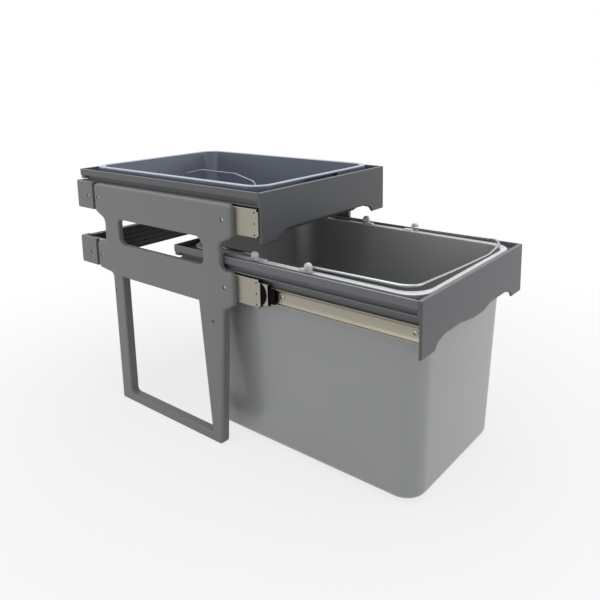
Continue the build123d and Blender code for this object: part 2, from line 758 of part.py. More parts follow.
handle_top = inside_floor + handle_height
with BuildPart() as tray_handle:
    with BuildLine(Plane.YZ) as handle_path:
        FilletPolyline(
            (handle_ends[0], inside_floor),
            (handle_ends[0], handle_top - handle_shoulder),
            (handle_middle - handle_flat / 2, handle_top),
            (handle_middle + handle_flat / 2, handle_top),
            (handle_ends[1], handle_top - handle_shoulder),
            (handle_ends[1], inside_floor),
            radius=[handle_shoulder, handle_top_bend, handle_top_bend, handle_shoulder],
        )
    with BuildSketch(Plane(handle_path.line @ 0, z_dir=handle_path.line % 0)):
        Circle(handle_wire / 2)
    sweep()
save(tray_handle.part, "tray_handle")

lower_front = fronts["lower"]
lower_top = tops["lower"]
bin_rim_top = lower_top - bin_rim_drop
bin_rim = (bin_rim_top, web_inner - bin_rim_gap, lower_front + bin_back,
           lower_front + rail_body - bin_rear_gap, bin_corner + bin_rim_width - bin_wall)
bin_mouth = (bin_rim_top, wall_half, lower_front + bin_back + bin_front_step,
             lower_front + wall_rear, bin_corner)
bin_base = (bin_floor_height, wall_half - bin_taper, bin_mouth[2] + bin_front_taper,
            bin_mouth[3] - bin_rear_taper, bin_base_corner)
bin_forms = tub_and_hollow(bin_mouth, bin_base, bin_wall, bin_base_edge)
with BuildPart() as waste_bin:
    container(*bin_forms, bin_rim, lower_top - ledge_drop, bin_skirt)
    fillet(waste_bin.faces().sort_by(Axis.Z)[-1].edges(), radius=bin_edge_radius)
save(waste_bin.part, "waste_bin")


# ---------------------------------------------------------------- liner hoops and clips
side_wire = wall_half
knuckle_inner = side_wire + pin_bend + pin_clearance
pin_end = knuckle_inner + clip_thickness + pin_overhang
hoop_z = lower_top + hoop_rise

for place, back in clip_backs.items():
    clip_y = lower_front + back
    outward = 1 if place == "front" else -1
    with BuildPart() as clips:
        with BuildSketch(side(knuckle_inner)):
            with Locations((clip_y, hoop_z + clip_rise)):
                Circle(clip_width / 2)
                Rectangle(clip_width, hoop_z + clip_rise - bin_rim_top, align=(Align.CENTER, Align.MAX))
            with Locations((clip_y, hoop_z)):
                Circle(hoop_wire / 2 + pin_clearance, mode=Mode.SUBTRACT)
        extrude(amount=clip_thickness)
        with BuildSketch(Plane.XY.offset(bin_rim_top)):
            with Locations((bin_rim[1], clip_y + outward * clip_lobe[0] / 2)):
                Rectangle(clip_lobe[1], clip_lobe[0], align=(Align.MAX, Align.CENTER))
        extrude(amount=clip_lobe[2])
        mirror(about=Plane.YZ)
    save(clips.part, f"{place}_hoop_clips")


def hoop(points, radii):
    """Wire hoop swept along its corner points."""
    with BuildLine() as path:
        FilletPolyline(*points, radius=radii)
    with BuildSketch(Plane(path.line @ 0, z_dir=path.line % 0)) as wire:
        Circle(hoop_wire / 2)
    sweep(wire.sketch, path=path.line)


front_y = lower_front + clip_backs["front"]
rear_y = lower_front + clip_backs["rear"]
front_run = lower_front + hoop_front_back
front_corner_z = hoop_z + hoop_side_rise
with BuildPart() as front_hoop:
    hoop(
        [
            (-pin_end, front_y, hoop_z),
            (-side_wire, front_y, hoop_z),
            (-side_wire, front_run, front_corner_z),
            *[(x, front_run, lower_top + rise) for x, rise in hoop_front_levels],
            (side_wire, front_run, front_corner_z),
            (side_wire, front_y, hoop_z),
            (pin_end, front_y, hoop_z),
        ],
        [pin_bend, hoop_corner, *[hoop_sag_radius] * len(hoop_front_levels), hoop_corner, pin_bend],
    )
save(front_hoop.part, "front_liner_hoop")

rear_run = lower_front + hoop_rear_back
with BuildPart() as rear_hoop:
    hoop(
        [
            (-pin_end, rear_y, hoop_z),
            (-side_wire, rear_y, hoop_z),
            (-side_wire, rear_run, hoop_z),
            (side_wire, rear_run, hoop_z),
            (side_wire, rear_y, hoop_z),
            (pin_end, rear_y, hoop_z),
        ],
        [pin_bend, hoop_corner, hoop_corner, pin_bend],
    )
save(rear_hoop.part, "rear_liner_hoop")
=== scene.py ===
"""Finishes, moulded parts and studio for a pull-out kitchen waste unit."""

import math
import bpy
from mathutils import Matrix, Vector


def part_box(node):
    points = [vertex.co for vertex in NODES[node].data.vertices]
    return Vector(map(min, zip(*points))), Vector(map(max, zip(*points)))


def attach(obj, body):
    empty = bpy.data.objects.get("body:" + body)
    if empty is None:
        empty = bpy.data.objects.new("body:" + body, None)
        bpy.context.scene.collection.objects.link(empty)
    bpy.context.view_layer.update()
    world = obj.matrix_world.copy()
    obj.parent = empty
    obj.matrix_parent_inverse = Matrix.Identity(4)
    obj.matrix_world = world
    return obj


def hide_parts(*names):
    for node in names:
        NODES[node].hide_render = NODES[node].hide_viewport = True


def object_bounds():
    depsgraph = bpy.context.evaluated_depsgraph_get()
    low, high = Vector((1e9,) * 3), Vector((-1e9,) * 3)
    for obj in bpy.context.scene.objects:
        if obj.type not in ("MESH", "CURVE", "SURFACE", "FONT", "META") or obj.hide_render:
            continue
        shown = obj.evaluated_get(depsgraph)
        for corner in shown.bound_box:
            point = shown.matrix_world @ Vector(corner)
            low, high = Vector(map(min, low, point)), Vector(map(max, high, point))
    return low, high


bl_info = {
    "name": "Pull-out waste unit",
    "version": (1, 0, 0),
    "blender": (4, 5, 0),
    "location": "View3D > Sidebar > Waste unit",
    "description": "Finishes, moulded parts and studio for a pull-out kitchen waste unit",
    "category": "Object",
}

import bmesh
import bpy
from bpy.props import FloatProperty, FloatVectorProperty, PointerProperty
from mathutils import Matrix, Vector

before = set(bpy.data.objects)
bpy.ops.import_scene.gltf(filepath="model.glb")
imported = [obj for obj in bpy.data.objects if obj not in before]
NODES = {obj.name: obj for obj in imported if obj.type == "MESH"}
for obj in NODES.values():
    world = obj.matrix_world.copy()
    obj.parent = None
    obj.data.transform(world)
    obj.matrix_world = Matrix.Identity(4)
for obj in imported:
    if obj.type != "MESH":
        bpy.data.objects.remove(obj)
CAD_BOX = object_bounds()
SIDES = ("left", "right")
LEVELS = ("upper", "lower")
MM = 0.001
MERGE_DISTANCE = 1e-6
SHARP_ANGLE = math.radians(35)  # edges that turn more than this are shaded as edges
CLIP_WIRE_HEIGHT = 6.0 * MM  # centre of the hoops' hinged ends over the bin's rim


# ---------------------------------------------------------------- sizes and colours
def size(name, description, millimetres):
    """A length that a user can change."""
    return FloatProperty(name=name, description=description, default=millimetres * MM, min=0.0,
                         unit="LENGTH")


def colour(name, description, default):
    """A colour that a user can change, in linear values."""
    return FloatVectorProperty(name=name, description=description, default=default, size=3,
                               min=0.0, max=1.0, subtype="COLOR")


class WasteUnitColours(bpy.types.PropertyGroup):
    """Colours of the unit's finishes."""

    bracket: colour("Brackets", "Moulded side brackets", (0.205, 0.205, 0.203))
    cap: colour("Caps", "Moulded rear corner caps", (0.185, 0.185, 0.185))
    cross_rail: colour("Cross rails", "Dark rails across the rear", (0.020, 0.020, 0.022))
    upper_frame: colour("Upper frame", "Coat of the upper drawer's front", (0.077, 0.080, 0.086))
    lower_frame: colour("Lower frame", "Coat of the lower drawer's front", (0.092, 0.094, 0.100))
    # The upper rails have the same coat as the lower ones; their darker colour is painted shade
    # that offsets the stronger light from above.
    upper_rail: colour("Upper rails", "Coat of the upper drawer's rails", (0.104, 0.105, 0.108))
    lower_rail: colour("Lower rails", "Coat of the lower drawer's rails", (0.140, 0.142, 0.150))
    slide: colour("Slides", "Zinc plated slide members", (0.335, 0.316, 0.262))
    black: colour("Black plastic", "Slide bumpers and ball cages", (0.004, 0.004, 0.004))
    steel: colour("Steel", "Screws and balls", (0.40, 0.385, 0.35))
    tray: colour("Tray", "Moulded tray", (0.112, 0.128, 0.162))
    waste_bin: colour("Bin", "Moulded bin", (0.318, 0.320, 0.322))
    wire: colour("Wire", "Plated wire of the liner hoops", (0.46, 0.48, 0.48))
    handle: colour("Handle", "Dull wire of the tray's handle", (0.36, 0.36, 0.40))
    clip: colour("Clips", "Moulded clips of the liner hoops", (0.62, 0.63, 0.64))
    floor: colour("Floor", "Studio floor and backdrop", (0.62, 0.62, 0.62))


class WasteUnitSizes(bpy.types.PropertyGroup):
    """Sizes of the parts that are modelled here."""

    slide_sheet: size("Slide sheet", "Sheet of the slide members", 1.2)
    slide_bend: size("Slide bend", "Radius between an inner member's web and flange", 2.0)
    slide_bead: size("Slide bead", "Height of the beads along an inner slide member", 5.6)
    rim_wall: size("Rim wall", "Thickness of a container's rim", 2.0)
    rim_roll: size("Rim roll", "Radius of a rim's outer edge", 2.2)
    mouth_roll: size("Mouth roll", "Radius of a rim's inner edge", 1.6)
    tray_wall: size("Tray wall", "Thickness of the tray's walls and floor", 2.5)
    tray_rim: size("Tray rim", "How far the rim stands out from the front wall", 6.0)
    tray_side_rim: size("Tray side rim", "How far the rim stands out from a side wall", 8.0)
    tray_rear_rim: size("Tray rear rim", "How far the rim stands out from the rear wall", 8.4)
    tray_skirt: size("Tray skirt", "Height of the rim's skirt", 14.0)
    tray_taper: size("Tray taper", "How far the side and rear walls slope in", 10.0)
    tray_front_taper: size("Tray front taper", "How far the front wall slopes in", 5.0)
    tray_corner: size("Tray corner", "Radius of the rim's corners", 35.0)
    tray_floor_corner: size("Tray floor corner", "Radius of the floor's corners", 25.0)
    tray_fold: size("Tray fold", "Radius between the walls and the floor", 8.0)
    grip_width: size("Grip width", "Width of the finger grip under the tray's front rim", 92.0)
    grip_top: size("Grip top", "From the rim's top down to the finger grip", 3.0)
    boss_radius: size("Boss radius", "Bosses that hold the tray's handle", 4.0)
    boss_height: size("Boss height", "Bosses that hold the tray's handle", 6.0)
    bin_wall: size("Bin wall", "Thickness of the bin's walls and floor", 2.5)
    bin_rim: size("Bin rim", "How far the rim stands out from a side wall", 7.0)
    bin_front_rim: size("Bin front rim", "How far the rim stands out from the front wall", 5.0)
    bin_rear_rim: size("Bin rear rim", "How far the rim stands out from the rear wall", 8.4)
    bin_skirt: size("Bin skirt", "Height of the rim's skirt", 8.0)
    bin_taper: size("Bin taper", "How far the side and rear walls slope in", 16.0)
    bin_front_taper: size("Bin front taper", "How far the front wall slopes in", 13.0)
    bin_corner: size("Bin corner", "Radius of the rim's outer corners", 35.0)
    bin_mouth_corner: size("Bin mouth corner", "Radius of the mouth's corners", 40.0)
    bin_floor_corner: size("Bin floor corner", "Radius of the floor's corners", 35.0)
    bin_fold: size("Bin fold", "Radius between the walls and the floor", 12.0)
    bin_groove: size("Bin groove", "Depth of the groove along the rim", 0.8)
    recess_width: size("Recess width", "Width of one arm of a screw's cross recess", 1.0)
    recess_length: size("Recess length", "Length of a screw's cross recess", 4.2)
    recess_depth: size("Recess depth", "Depth of a screw's cross recess", 1.3)
    head_radius: size("Head radius", "Radius of a screw's head", 3.5)
    head_edge: size("Head edge", "Straight edge of a screw's head", 0.9)
    head_height: size("Head height", "Height of a screw's head", 2.2)
    shank_radius: size("Shank radius", "Radius of a screw's shank", 2.0)
    clip_rise: size("Clip rise", "From the wire up to the centre of a clip's round top", 1.5)
    clip_hole: size("Clip hole", "Radius of the hole for the wire", 2.15)
    clip_thickness: size("Clip thickness", "Thickness of a hoop clip's upright part", 7.0)
    clip_edge: size("Clip edge", "Rounding of a hoop clip's edges", 2.2)
    clip_foot: size("Clip foot", "Height of the leaf shaped foot under a hoop clip", 2.5)
    clip_foot_width: size("Clip foot width", "Width of the leaf shaped foot", 9.0)


# ---------------------------------------------------------------- shared surface effects
STREAK_STRETCH = (1.0, 0.03, 1.0)  # the noise is drawn out along Y, the way the slides run


def new_group(name, numbers):
    """A surface effect that takes a place, a colour and these numbers, with its end nodes."""
    group = bpy.data.node_groups.new(name, "ShaderNodeTree")
    inputs = [("Vector", "Vector"), ("Colour", "Color"), *((number, "Float") for number in numbers)]
    outputs = [("Colour", "Color"), ("Roughness", "Float"), ("Height", "Float")]
    for way, sockets in (("INPUT", inputs), ("OUTPUT", outputs)):
        for socket, kind in sockets:
            group.interface.new_socket(socket, in_out=way, socket_type=f"NodeSocket{kind}")
    return group, group.nodes.new("NodeGroupInput"), group.nodes.new("NodeGroupOutput")


def noise(tree, vector, scale, detail=2.0, roughness=0.5):
    """Noise over the surface, from 0 to 1. The scale is a number or a socket."""
    node = tree.nodes.new("ShaderNodeTexNoise")
    node.inputs["Detail"].default_value = detail
    node.inputs["Roughness"].default_value = roughness
    tree.links.new(vector, node.inputs["Vector"])
    set_or_link(tree, scale, node.inputs["Scale"])
    return node.outputs["Fac"]


def set_or_link(tree, value, socket):
    """Gives a socket a number, or links another socket to it."""
    if isinstance(value, bpy.types.NodeSocket):
        tree.links.new(value, socket)
    else:
        socket.default_value = value


def maths(tree, operation, *values, clamp=False):
    """One Math node."""
    node = tree.nodes.new("ShaderNodeMath")
    node.operation = operation
    node.use_clamp = clamp
    for value, socket in zip(values, node.inputs):
        set_or_link(tree, value, socket)
    return node.outputs["Value"]


def around(tree, middle, spread, fac):
    """The middle value, moved by up to half the spread either way."""
    centred = maths(tree, "SUBTRACT", fac, 0.5)
    return maths(tree, "MULTIPLY_ADD", centred, spread, middle)


def brighten(tree, base, factor):
    """The colour made lighter or darker."""
    node = tree.nodes.new("ShaderNodeHueSaturation")
    tree.links.new(base, node.inputs["Color"])
    tree.links.new(factor, node.inputs["Value"])
    return node.outputs["Color"]


def moulded_surface():
    """Moulded plastic or powder coat: clouds of tone, a fine grain, and a painted highlight that
    lightens a band at the top.
    """
    group, given, result = new_group("Moulded surface", (
        "Cloud scale", "Cloud depth", "Grain scale", "Grain depth", "Roughness", "Roughness spread",
        "Highlight low", "Highlight high", "Rim tone"))
    place = given.outputs["Vector"]
    clouds = noise(group, place, given.outputs["Cloud scale"], detail=4.0, roughness=0.6)
    grain = noise(group, place, given.outputs["Grain scale"], detail=2.0, roughness=0.6)
    cloud_tone = around(group, 1.0, given.outputs["Cloud depth"], clouds)
    tone = around(group, cloud_tone, given.outputs["Grain depth"], grain)
    # Painted highlight: the colour is made lighter on a band at the top of the piece.
    tone = maths(group, "MULTIPLY", tone, rim_tone(group, given))
    group.links.new(brighten(group, given.outputs["Colour"], tone), result.inputs["Colour"])
    rough = around(group, given.outputs["Roughness"], given.outputs["Roughness spread"], clouds)
    group.links.new(rough, result.inputs["Roughness"])
    group.links.new(grain, result.inputs["Height"])
    return group


def rim_tone(group, given):
    """Painted highlight: 1 below the top band, and the highlight's tone on the band."""
    axes = group.nodes.new("ShaderNodeSeparateXYZ")
    group.links.new(given.outputs["Vector"], axes.inputs["Vector"])
    rise = group.nodes.new("ShaderNodeMapRange")
    rise.interpolation_type = "SMOOTHSTEP"
    group.links.new(axes.outputs["Z"], rise.inputs["Value"])
    group.links.new(given.outputs["Highlight low"], rise.inputs["From Min"])
    group.links.new(given.outputs["Highlight high"], rise.inputs["From Max"])
    rise.inputs["To Min"].default_value = 1.0
    group.links.new(given.outputs["Rim tone"], rise.inputs["To Max"])
    return rise.outputs["Result"]


def drawn_metal():
    """Rolled or drawn metal: fine streaks along the piece, and dull patches in the plating."""
    group, given, result = new_group("Drawn metal", (
        "Streak scale", "Streak depth", "Patch scale", "Patch depth", "Roughness",
        "Roughness spread"))
    place = given.outputs["Vector"]
    stretch = group.nodes.new("ShaderNodeMapping")
    stretch.inputs["Scale"].default_value = STREAK_STRETCH
    group.links.new(place, stretch.inputs["Vector"])
    streaks = noise(group, stretch.outputs["Vector"], given.outputs["Streak scale"], detail=3.0,
                    roughness=0.6)
    patches = noise(group, place, given.outputs["Patch scale"], detail=5.0, roughness=0.6)
    streak_tone = around(group, 1.0, given.outputs["Streak depth"], streaks)
    tone = around(group, streak_tone, given.outputs["Patch depth"], patches)
    group.links.new(brighten(group, given.outputs["Colour"], tone), result.inputs["Colour"])
    rough = around(group, given.outputs["Roughness"], given.outputs["Roughness spread"], patches)
    group.links.new(rough, result.inputs["Roughness"])
    group.links.new(streaks, result.inputs["Height"])
    return group


def shared_group(make):
    """The node group that this function makes, built once."""
    name = make.__name__.replace("_", " ").capitalize()
    return bpy.data.node_groups.get(name) or make()


# ---------------------------------------------------------------- materials
# No painted highlight on the pieces that use this.
NO_PAINTED_HIGHLIGHT = (10.0, 11.0, 1.0)  # a band far above the unit, and a tone that changes nothing


def surface_material(name, effect, base, bump, values):
    """Material whose colour, roughness and height come from one shared effect."""
    material = bpy.data.materials.new(name)
    material.use_nodes = True
    tree = material.node_tree
    shader = tree.nodes["Principled BSDF"]
    place = tree.nodes.new("ShaderNodeTexCoord")
    group = tree.nodes.new("ShaderNodeGroup")
    group.node_tree = shared_group(effect)
    tree.links.new(place.outputs["Object"], group.inputs["Vector"])
    group.inputs["Colour"].default_value = (*base, 1.0)
    for socket, value in values.items():
        group.inputs[socket].default_value = value
    tree.links.new(group.outputs["Colour"], shader.inputs["Base Color"])
    tree.links.new(group.outputs["Roughness"], shader.inputs["Roughness"])
    relief = tree.nodes.new("ShaderNodeBump")
    relief.inputs["Strength"].default_value = bump[0]
    relief.inputs["Distance"].default_value = bump[1]
    tree.links.new(group.outputs["Height"], relief.inputs["Height"])
    tree.links.new(relief.outputs["Normal"], shader.inputs["Normal"])
    return material, shader


def moulding(name, base, roughness, grain_scale=900.0, grain_depth=0.05, cloud_depth=0.08,
             bump=(0.25, 0.0002), cloud_scale=14.0, spread=0.08, rim=NO_PAINTED_HIGHLIGHT):
    """Moulded plastic or powder coat. The rim is a band of height that gets a painted highlight,
    and the highlight's tone.
    """
    values = {"Cloud scale": cloud_scale, "Cloud depth": cloud_depth, "Grain scale": grain_scale,
              "Grain depth": grain_depth, "Roughness": roughness, "Roughness spread": spread,
              "Highlight low": rim[0], "Highlight high": rim[1], "Rim tone": rim[2]}
    return surface_material(name, moulded_surface, base, bump, values)


def metal(name, base, roughness, streak_scale=1400.0, streak_depth=0.10, patch_depth=0.08,
          bump=(0.15, 0.0001), patch_scale=60.0, spread=0.10):
    """Bare or plated metal."""
    values = {"Streak scale": streak_scale, "Streak depth": streak_depth,
              "Patch scale": patch_scale, "Patch depth": patch_depth,
              "Roughness": roughness, "Roughness spread": spread}
    material, shader = surface_material(name, drawn_metal, base, bump, values)
    shader.inputs["Metallic"].default_value = 1.0
    return material


def rim_band(node, start, end, tone):
    """A painted highlight band that starts and ends so many millimetres below the node's top, and
    its tone.
    """
    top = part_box(node)[1].z
    return top - start * MM, top - end * MM, tone


def clear_coat(shader, weight, roughness):
    """Puts a clear coat over the surface."""
    shader.inputs["Coat Weight"].default_value = weight
    shader.inputs["Coat Roughness"].default_value = roughness


def bracket_plastic(colours):
    """Fine matt spark-eroded plastic of the side brackets."""
    material, _ = moulding("bracket_plastic_finish", colours.bracket, roughness=0.50,
                           bump=(0.35, 0.0002))
    return material


def cap_plastic(colours):
    """The same plastic, a shade smoother, on the rear caps."""
    material, _ = moulding("cap_plastic_finish", colours.cap, roughness=0.46)
    return material


def cross_rail_plastic(colours):
    """Dark ribbed rails."""
    material, _ = moulding("cross_rail_finish", colours.cross_rail, roughness=0.42,
                           cloud_depth=0.2)
    return material


def powder_coat(name, base, node, highlight_tone):
    """Satin powder coat with a faint orange peel, and a painted highlight that makes the top edge
    of this node lighter.
    """
    material, shader = moulding(name, base, roughness=0.46, grain_scale=420.0,
                                grain_depth=0.03, cloud_depth=0.06, bump=(0.12, 0.0003),
                                cloud_scale=9.0, rim=rim_band(node, 0.9, 0.4, highlight_tone))
    clear_coat(shader, weight=0.1, roughness=0.3)
    return material


def slide_zinc(colours):
    """Zinc plated sheet steel with a warm cast."""
    return metal("slide_zinc_finish", colours.slide, roughness=0.38)


def black_plastic(colours):
    """Black plastic of the bumpers and cages."""
    material, shader = moulding("black_plastic_finish", colours.black, roughness=0.50,
                                cloud_depth=0.3, grain_depth=0.2)
    shader.inputs["Specular IOR Level"].default_value = 0.04
    return material


def bright_steel(colours):
    """Bright plated steel of the screws and balls."""
    return metal("bright_steel_finish", colours.steel, roughness=0.32, patch_scale=300.0)


def tray_plastic(colours):
    """Smooth satin plastic of the tray, with a painted highlight on its rim."""
    material, shader = moulding("tray_plastic_and_highlight", colours.tray, roughness=0.34,
                                grain_scale=700.0, grain_depth=0.03, cloud_depth=0.07,
                                bump=(0.10, 0.0002), cloud_scale=7.0,
                                # Painted highlight: the rim's top band is made 3.4 times lighter.
                                rim=rim_band("tray", 1.6, 0.5, tone=3.4))
    clear_coat(shader, weight=0.25, roughness=0.2)
    return material


def bin_plastic(colours):
    """Silver grey plastic of the bin, with a metallic flake and a painted highlight on its rim."""
    material, shader = moulding("bin_plastic_and_highlight", colours.waste_bin, roughness=0.36,
                                grain_scale=1100.0, grain_depth=0.08, cloud_depth=0.06,
                                bump=(0.12, 0.0002), cloud_scale=6.0,
                                # Painted highlight: the rim's top band is made 2.2 times lighter.
                                rim=rim_band("waste_bin", 3.0, 0.6, tone=2.2))
    shader.inputs["Metallic"].default_value = 0.2
    clear_coat(shader, weight=0.5, roughness=0.18)
    return material


def plated_wire(name, base, roughness):
    """Plated wire of the hoops and the tray's handle."""
    return metal(name, base, roughness, streak_depth=0.03, patch_depth=0.05, bump=(0.05, 0.0001),
                 spread=0.05)


def clip_plastic(colours):
    """Glossy pale plastic of the hoop clips."""
    material, shader = moulding("clip_plastic_finish", colours.clip, roughness=0.22,
                                bump=(0.08, 0.0002))
    clear_coat(shader, weight=0.5, roughness=0.1)
    return material


def dress(material, *names):
    """Gives CAD nodes this finish."""
    for name in names:
        for slot in NODES[name].material_slots:
            slot.material = material


def both(name):
    """A node's name on each side."""
    return [f"{side}_{name}" for side in SIDES]


# ---------------------------------------------------------------- mesh helpers
def new_object(name, data):
    """An object with this data, in the scene."""
    made = bpy.data.objects.new(name, data)
    bpy.context.scene.collection.objects.link(made)
    return made


def picked(geom, kind):
    """The vertices, edges or faces among these."""
    return [part for part in geom if isinstance(part, kind)]


def extruded_edges(mesh, edges):
    """Extrudes these edges, and gives the new vertices and the new edges."""
    made = bmesh.ops.extrude_edge_only(mesh, edges=edges)["geom"]
    return picked(made, bmesh.types.BMVert), picked(made, bmesh.types.BMEdge)


def rounded(mesh, geom, offset, segments, affect, **options):
    """Rounds these edges, or corners of faces, and gives what the bevel made."""
    return bmesh.ops.bevel(mesh, geom=geom, offset=offset, segments=segments, profile=0.5,
                           affect=affect, material=-1, **options)


def extruded_faces(mesh, faces):
    """Extrudes these faces, and gives the new vertices."""
    made = bmesh.ops.extrude_face_region(mesh, geom=faces)["geom"]
    return picked(made, bmesh.types.BMVert)


def solids_of(node):
    """Corners of the box round each separate solid of a CAD node, read from a merged copy."""
    mesh = bmesh.new()
    mesh.from_mesh(NODES[node].data)
    bmesh.ops.remove_doubles(mesh, verts=mesh.verts, dist=MERGE_DISTANCE)
    boxes = []
    left = set(mesh.verts)
    while left:
        reached = {left.pop()}
        edge = set(reached)
        while edge:
            edge = {e.other_vert(v) for v in edge for e in v.link_edges} - reached
            reached |= edge
        left -= reached
        axes = list(zip(*(v.co for v in reached)))
        boxes.append((Vector(map(min, axes)), Vector(map(max, axes))))
    mesh.free()
    return sorted(boxes, key=lambda box: tuple(box[0]))


def finished_piece(mesh, name, material, body, slot, *replaced):
    """Turns a bmesh into a piece that rides on a body and stands for CAD nodes."""
    bmesh.ops.remove_doubles(mesh, verts=mesh.verts, dist=MERGE_DISTANCE)
    bmesh.ops.recalc_face_normals(mesh, faces=mesh.faces)
    for face in mesh.faces:
        face.smooth = True
    for edge in mesh.edges:
        edge.smooth = len(edge.link_faces) == 2 and edge.calc_face_angle() < SHARP_ANGLE
    data = bpy.data.meshes.new(name)
    mesh.to_mesh(data)
    mesh.free()
    piece = new_object(name, data)
    data.materials.append(material)
    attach(piece, body)
    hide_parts(*replaced)


class Outline:
    """A rounded rectangle: half its width, its front, rear and height, and its corner radius."""

    def __init__(self, half, front, rear, z, corner):
        self.values = (half, front, rear, z, corner)

    def inset(self, by, z=None):
        """The same outline, further in all round, and at this height if one is given."""
        half, front, rear, own_z, corner = self.values
        return Outline(half - by, front + by, rear - by, own_z if z is None else z, corner - by)

    def moved_in(self, sides, front, rear, z, corner):
        """The outline further in by its own amount at the sides, front and rear."""
        half, low_y, high_y, _, _ = self.values
        return Outline(half - sides, low_y + front, high_y - rear, z, corner)

    def towards(self, other, share):
        """Part of the way to another outline."""
        return Outline(*(a + (b - a) * share for a, b in zip(self.values, other.values)))

    def at(self, other, z):
        """Where the slope from this outline to the other one passes this height."""
        share = (z - self.values[3]) / (other.values[3] - self.values[3])
        return self.towards(other, share)

    def ring(self, mesh, steps):
        """Its edges in the mesh."""
        half, front, rear, z, corner = self.values
        place = Matrix.Translation((0, (front + rear) / 2, z))
        stretch = Matrix.Diagonal((half, (rear - front) / 2, 1, 1))
        grid = bmesh.ops.create_grid(mesh, x_segments=1, y_segments=1, size=1.0,
                                     matrix=place @ stretch)
        made = rounded(mesh, grid["verts"], corner, steps, "VERTICES")
        face = made["verts"][0].link_faces[0]
        edges = list(face.edges)
        bmesh.ops.delete(mesh, geom=[face], context="FACES_ONLY")
        return edges

    def corner_middle(self, right, behind):
        """Centre of one rounded corner."""
        half, front, rear, z, corner = self.values
        x = (half - corner) * (1 if right else -1)
        return Vector((x, rear - corner if behind else front + corner, z))

    def carry(self, verts, target):
        """Moves a ring's vertices from this outline on to another one."""
        _, front, rear, _, corner = self.values
        for vert in verts:
            place = (vert.co.x > 0, vert.co.y > (front + rear) / 2)
            reach = (vert.co - self.corner_middle(*place)) * (target.values[4] / corner)
            vert.co = target.corner_middle(*place) + reach


ROLL_STEPS, FOLD_STEPS, CORNER_STEPS = 5, 6, 12


def arc(radius, start, end, steps):
    """Points of an arc as pairs: how far in, and how far up, from its centre."""
    turns = [math.radians(start + (end - start) * i / steps) for i in range(steps + 1)]
    return [(radius * math.cos(turn), radius * math.sin(turn)) for turn in turns]


def skin(mesh, outlines, steps):
    """Extrudes a ring from outline to outline, and closes both ends."""
    first = edges = outlines[0].ring(mesh, steps)
    for outline, following in zip(outlines, outlines[1:]):
        verts, edges = extruded_edges(mesh, edges)
        outline.carry(verts, following)
    bmesh.ops.holes_fill(mesh, edges=first + edges, sides=0)


def rolled_rim(width, outer, inner, groove=0.0):
    """Top of a rim in section, from its outer face in: how far in, and how far down."""
    profile = [(outer - inward, outer - up) for inward, up in arc(outer, 0, 90, ROLL_STEPS)]
    if groove:
        middle = (outer + width - inner) / 2
        profile += [(middle + across * groove, down * groove)
                    for across, down in ((-1.5, 0.0), (-1.0, 1.0), (1.0, 1.0), (1.5, 0.0))]
    profile += [(width - inner - inward, inner - up)
                for inward, up in arc(inner, 90, 180, ROLL_STEPS)]
    return [(inward / width, down) for inward, down in profile]


def container(mesh, rim, mouth, floor, wall, rim_wall, skirt, profile, fold):
    """Tapered tub whose rim has this profile, with folds between its walls and its floor."""
    top, base = rim.values[3], floor.values[3]
    inner_mouth, inner_floor = mouth.inset(wall), floor.inset(wall, base + wall)
    outlines = folded(floor, mouth, fold)
    outlines.append(floor.at(mouth, top - rim_wall))
    outlines.append(rim.inset(rim_wall, top - rim_wall))
    outlines.append(rim.inset(rim_wall, top - skirt))
    outlines.append(rim.inset(0, top - skirt))
    outlines += [rim.towards(inner_mouth, share).inset(0, top - down) for share, down in profile]
    outlines += reversed(folded(inner_floor, inner_mouth, fold - wall))
    skin(mesh, outlines, CORNER_STEPS)


def folded(floor, mouth, fold):
    """Outlines from the edge of a floor round its fold and up on to the wall."""
    base = floor.values[3]
    wall_start = floor.at(mouth, base + fold)
    outlines = []
    for inward, up in arc(fold, 270, 360, FOLD_STEPS):
        rise = fold + up
        outlines.append(floor.towards(wall_start, rise / fold).inset(fold - inward, base + rise))
    return outlines


# ---------------------------------------------------------------- operators
def settings(context):
    """The scene's colours and sizes."""
    return context.scene.waste_unit_colours, context.scene.waste_unit_sizes


class WASTE_OT_brackets(bpy.types.Operator):
    """Finish the two side brackets."""

    bl_idname = "waste_unit.brackets"
    bl_label = "Side brackets"
    bl_options = {"REGISTER", "UNDO"}

    def execute(self, context):
        colours = context.scene.waste_unit_colours
        dress(bracket_plastic(colours), *both("side_bracket"))
        return {"FINISHED"}


class WASTE_OT_rear_frame(bpy.types.Operator):
    """Finish the rear caps and the cross rails."""

    bl_idname = "waste_unit.rear_frame"
    bl_label = "Rear frame"
    bl_options = {"REGISTER", "UNDO"}

    def execute(self, context):
        colours = context.scene.waste_unit_colours
        cap = cap_plastic(colours)
        rail = cross_rail_plastic(colours)
        for level in LEVELS:
            dress(cap, *both(f"{level}_rear_cap"))
            dress(rail, f"{level}_cross_rail")
        return {"FINISHED"}


class WASTE_OT_slides(bpy.types.Operator):
    """Finish the slide members, bumpers, cages and balls, and model the rolled inner members."""

    bl_idname = "waste_unit.slides"
    bl_label = "Slides"
    bl_options = {"REGISTER", "UNDO"}

    def execute(self, context):
        colours, sizes = settings(context)
        zinc = slide_zinc(colours)
        black = black_plastic(colours)
        steel = bright_steel(colours)
        for level in LEVELS:
            for member in ("outer", "middle", "inner"):
                dress(zinc, *both(f"{level}_{member}_slide"))
            dress(black, f"{level}_slide_bumpers", f"{level}_outer_ball_cages",
                  f"{level}_inner_ball_cages")
            dress(steel, f"{level}_outer_balls", f"{level}_inner_balls")
            for node in both(f"{level}_inner_slide"):
                finished_piece(rolled_member(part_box(node), sizes), f"{node}_rolled", zinc,
                               f"{level}_drawer", "slide_zinc", node)
        return {"FINISHED"}


# Slope of a rolled bead: shares of the member's depth, and of the bead's height.
BEAD_SLOPE = ((0.55, 0.35), (0.36, 0.8))


